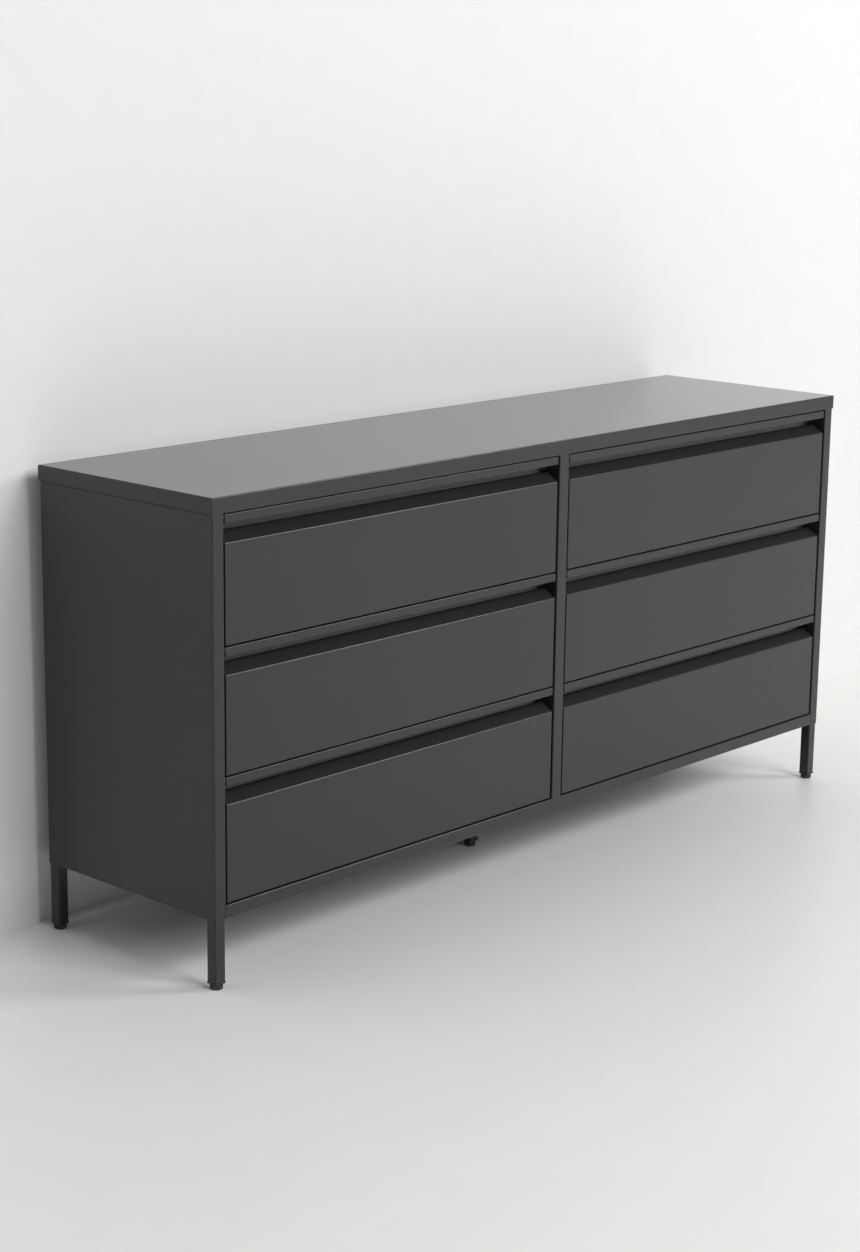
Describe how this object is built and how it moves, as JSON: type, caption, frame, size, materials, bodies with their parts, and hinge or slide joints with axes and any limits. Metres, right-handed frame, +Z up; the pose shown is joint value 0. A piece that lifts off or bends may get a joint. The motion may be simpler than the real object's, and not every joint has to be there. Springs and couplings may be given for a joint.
{
  "type": "drawer cabinet",
  "caption": "Low wide metal drawer cabinet: folded sheet-steel case on thin square legs, with drawers that have full-width finger channels and run on telescopic slides.",
  "frame": {"origin": "on the floor, under the middle of the lid", "axes": "+X to the right along the front, +Y from the front to the back, +Z up; the drawers open towards -Y"},
  "size_m": [1.6, 0.402, 0.7621],
  "materials": {
    "cabinet_paint": "satin anthracite powder coat",
    "drawer_box_paint": "satin anthracite powder coat",
    "slide_zinc": "bright zinc plate",
    "insert_plastic": "black moulded plastic",
    "foot_plastic": "black moulded plastic"
  },
  "bodies": {
    "cabinet": {"lid": "cabinet_paint", "lid_stiffeners": "cabinet_paint", "side_panel_right": "cabinet_paint", "side_panel_left": "cabinet_paint", "centre_divider": "cabinet_paint", "back_angle": "cabinet_paint", "back_panel": "cabinet_paint", "bottom_panel": "cabinet_paint", "bottom_rail": "cabinet_paint", "corner_post_front_left": "cabinet_paint", "corner_post_front_right": "cabinet_paint", "corner_post_back_left": "cabinet_paint", "corner_post_back_right": "cabinet_paint", "centre_leg": "cabinet_paint", "leg_insert_front_left": "insert_plastic", "leg_insert_front_right": "insert_plastic", "leg_insert_back_left": "insert_plastic", "leg_insert_back_right": "insert_plastic", "leg_insert_centre": "insert_plastic", "slide_cabinet_left_bottom": "slide_zinc", "slide_cabinet_left_middle": "slide_zinc", "slide_cabinet_left_top": "slide_zinc", "slide_cabinet_right_bottom": "slide_zinc", "slide_cabinet_right_middle": "slide_zinc", "slide_cabinet_right_top": "slide_zinc"},
    "drawer_left_bottom": {"drawer_front_left_bottom": "cabinet_paint", "pull_rail_left_bottom": "cabinet_paint", "drawer_box_left_bottom": "drawer_box_paint", "slide_drawer_left_bottom": "slide_zinc"},
    "slide_middle_left_bottom": {"slide_middle_left_bottom": "slide_zinc"},
    "drawer_left_middle": {"drawer_front_left_middle": "cabinet_paint", "pull_rail_left_middle": "cabinet_paint", "drawer_box_left_middle": "drawer_box_paint", "slide_drawer_left_middle": "slide_zinc"},
    "slide_middle_left_middle": {"slide_middle_left_middle": "slide_zinc"},
    "drawer_left_top": {"drawer_front_left_top": "cabinet_paint", "pull_rail_left_top": "cabinet_paint", "drawer_box_left_top": "drawer_box_paint", "slide_drawer_left_top": "slide_zinc"},
    "slide_middle_left_top": {"slide_middle_left_top": "slide_zinc"},
    "drawer_right_bottom": {"drawer_front_right_bottom": "cabinet_paint", "pull_rail_right_bottom": "cabinet_paint", "drawer_box_right_bottom": "drawer_box_paint", "slide_drawer_right_bottom": "slide_zinc"},
    "slide_middle_right_bottom": {"slide_middle_right_bottom": "slide_zinc"},
    "drawer_right_middle": {"drawer_front_right_middle": "cabinet_paint", "pull_rail_right_middle": "cabinet_paint", "drawer_box_right_middle": "drawer_box_paint", "slide_drawer_right_middle": "slide_zinc"},
    "slide_middle_right_middle": {"slide_middle_right_middle": "slide_zinc"},
    "drawer_right_top": {"drawer_front_right_top": "cabinet_paint", "pull_rail_right_top": "cabinet_paint", "drawer_box_right_top": "drawer_box_paint", "slide_drawer_right_top": "slide_zinc"},
    "slide_middle_right_top": {"slide_middle_right_top": "slide_zinc"},
    "levelling_foot_front_left": {"levelling_foot_front_left": "foot_plastic"},
    "levelling_foot_front_right": {"levelling_foot_front_right": "foot_plastic"},
    "levelling_foot_back_left": {"levelling_foot_back_left": "foot_plastic"},
    "levelling_foot_back_right": {"levelling_foot_back_right": "foot_plastic"},
    "levelling_foot_centre": {"levelling_foot_centre": "foot_plastic"}
  },
  "joints": [
    {"name": "drawer_left_bottom_travel", "type": "slide", "parent": "cabinet", "child": "drawer_left_bottom", "axis": [0, -1, 0], "range_m": [0, 0.34]},
    {"name": "slide_middle_left_bottom_travel", "type": "slide", "parent": "cabinet", "child": "slide_middle_left_bottom", "axis": [0, -1, 0], "range_m": [0, 0.17]},
    {"name": "drawer_left_middle_travel", "type": "slide", "parent": "cabinet", "child": "drawer_left_middle", "axis": [0, -1, 0], "range_m": [0, 0.34]},
    {"name": "slide_middle_left_middle_travel", "type": "slide", "parent": "cabinet", "child": "slide_middle_left_middle", "axis": [0, -1, 0], "range_m": [0, 0.17]},
    {"name": "drawer_left_top_travel", "type": "slide", "parent": "cabinet", "child": "drawer_left_top", "axis": [0, -1, 0], "range_m": [0, 0.34]},
    {"name": "slide_middle_left_top_travel", "type": "slide", "parent": "cabinet", "child": "slide_middle_left_top", "axis": [0, -1, 0], "range_m": [0, 0.17]},
    {"name": "drawer_right_bottom_travel", "type": "slide", "parent": "cabinet", "child": "drawer_right_bottom", "axis": [0, -1, 0], "range_m": [0, 0.34]},
    {"name": "slide_middle_right_bottom_travel", "type": "slide", "parent": "cabinet", "child": "slide_middle_right_bottom", "axis": [0, -1, 0], "range_m": [0, 0.17]},
    {"name": "drawer_right_middle_travel", "type": "slide", "parent": "cabinet", "child": "drawer_right_middle", "axis": [0, -1, 0], "range_m": [0, 0.34]},
    {"name": "slide_middle_right_middle_travel", "type": "slide", "parent": "cabinet", "child": "slide_middle_right_middle", "axis": [0, -1, 0], "range_m": [0, 0.17]},
    {"name": "drawer_right_top_travel", "type": "slide", "parent": "cabinet", "child": "drawer_right_top", "axis": [0, -1, 0], "range_m": [0, 0.34]},
    {"name": "slide_middle_right_top_travel", "type": "slide", "parent": "cabinet", "child": "slide_middle_right_top", "axis": [0, -1, 0], "range_m": [0, 0.17]},
    {"name": "levelling_foot_front_left_turn", "type": "hinge", "parent": "cabinet", "child": "levelling_foot_front_left", "pos_m": [-0.7878, -0.1884, 0], "axis": [0, 0, -1], "range_deg": [0, 2880]},
    {"name": "levelling_foot_front_right_turn", "type": "hinge", "parent": "cabinet", "child": "levelling_foot_front_right", "pos_m": [0.7878, -0.1884, 0], "axis": [0, 0, -1], "range_deg": [0, 2880]},
    {"name": "levelling_foot_back_left_turn", "type": "hinge", "parent": "cabinet", "child": "levelling_foot_back_left", "pos_m": [-0.7878, 0.1874, 0], "axis": [0, 0, -1], "range_deg": [0, 2880]},
    {"name": "levelling_foot_back_right_turn", "type": "hinge", "parent": "cabinet", "child": "levelling_foot_back_right", "pos_m": [0.7878, 0.1874, 0], "axis": [0, 0, -1], "range_deg": [0, 2880]},
    {"name": "levelling_foot_centre_turn", "type": "hinge", "parent": "cabinet", "child": "levelling_foot_centre", "pos_m": [0, 0, 0], "axis": [0, 0, -1], "range_deg": [0, 2880]}
  ],
  "couplings": [
    {"joint": "slide_middle_left_bottom_travel", "follows": "drawer_left_bottom_travel", "ratio": 0.5},
    {"joint": "slide_middle_left_middle_travel", "follows": "drawer_left_middle_travel", "ratio": 0.5},
    {"joint": "slide_middle_left_top_travel", "follows": "drawer_left_top_travel", "ratio": 0.5},
    {"joint": "slide_middle_right_bottom_travel", "follows": "drawer_right_bottom_travel", "ratio": 0.5},
    {"joint": "slide_middle_right_middle_travel", "follows": "drawer_right_middle_travel", "ratio": 0.5},
    {"joint": "slide_middle_right_top_travel", "follows": "drawer_right_top_travel", "ratio": 0.5}
  ]
}
